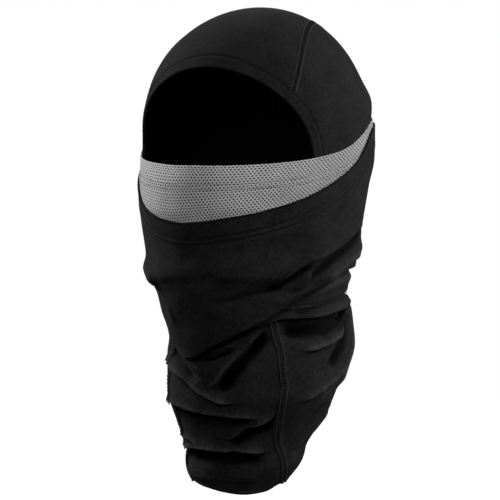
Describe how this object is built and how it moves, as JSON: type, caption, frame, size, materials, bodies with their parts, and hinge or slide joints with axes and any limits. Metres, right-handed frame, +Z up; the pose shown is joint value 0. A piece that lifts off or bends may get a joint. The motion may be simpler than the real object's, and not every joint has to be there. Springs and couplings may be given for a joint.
{
  "type": "balaclava",
  "caption": "Knit balaclava with a hood, an oval face opening, a pull-down mask of mesh and jersey layers, and a neck drape with a slanted back hem.",
  "frame": {"origin": "inside of the crown, at the point that rests on the top of the head", "axes": "+Z up, -Y the way the wearer faces, +X to the wearer's left"},
  "size_m": [0.1778, 0.2152, 0.3739],
  "materials": {
    "hood_jersey": "matte fine knit",
    "mask_jersey": "matte brushed knit",
    "grey_mesh": "eyelet mesh",
    "black_thread": "spun thread",
    "grey_thread": "spun thread",
    "label_satin": "satin"
  },
  "bodies": {
    "hood": {"crown_panel": "hood_jersey", "side_panel_left": "hood_jersey", "side_panel_right": "hood_jersey", "chin_panel": "hood_jersey", "opening_hem": "hood_jersey", "opening_stitching": "black_thread", "crown_seam_left": "black_thread", "crown_seam_right": "black_thread", "chin_seam_left": "black_thread", "chin_seam_right": "black_thread", "joining_stitching": "black_thread", "neck_front": "mask_jersey", "neck_back": "mask_jersey", "neck_seam_left": "black_thread", "neck_seam_right": "black_thread", "bib_hem": "mask_jersey", "bib_hem_stitching": "black_thread", "nape_hem": "mask_jersey", "nape_hem_stitching": "black_thread", "care_label": "label_satin"},
    "mask": {"mesh_liner": "grey_mesh", "liner_hem": "grey_mesh", "liner_stitching": "grey_thread", "outer_mask": "mask_jersey", "outer_hem": "mask_jersey", "outer_stitching": "black_thread", "lower_band": "mask_jersey", "lower_band_stitching": "black_thread"}
  },
  "joints": [
    {"name": "mask_pull_down", "type": "slide", "parent": "hood", "child": "mask", "axis": [0, 0, -1], "range_m": [0, 0.07]}
  ]
}
